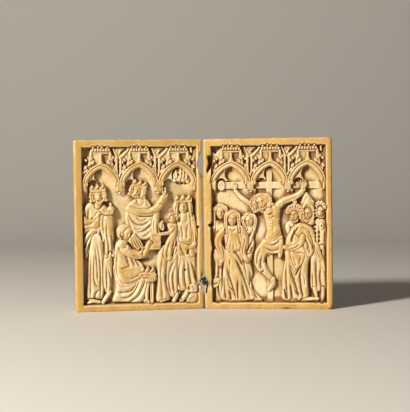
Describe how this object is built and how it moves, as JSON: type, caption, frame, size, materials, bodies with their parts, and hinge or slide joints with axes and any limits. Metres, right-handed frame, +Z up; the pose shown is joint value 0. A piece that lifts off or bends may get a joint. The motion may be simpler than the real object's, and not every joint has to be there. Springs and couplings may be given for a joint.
{
  "type": "carved ivory diptych",
  "caption": "Small hinged pair of carved ivory panels with figures in high relief under pointed arches, standing half open.",
  "frame": {"origin": "centre of the standing diptych's footprint, at the height of the surface it stands on", "axes": "+X to the viewer's right along the open pair, +Y from the carved faces to the backs, +Z up the leaves"},
  "size_m": [0.1514, 0.0194, 0.1],
  "materials": {
    "ivory": "satin",
    "hinge_metal": "dull, tarnished"
  },
  "bodies": {
    "left": {"left_leaf": "ivory", "hinge_left": "hinge_metal", "hinge_pin": "hinge_metal"},
    "right": {"right_leaf": "ivory", "hinge_right": "hinge_metal"}
  },
  "joints": [
    {"name": "leaf_hinge", "type": "hinge", "parent": "left", "child": "right", "pos_m": [0, 0.00177, 0.05], "axis": [0, 0, 1], "range_deg": [-162, 18]}
  ]
}
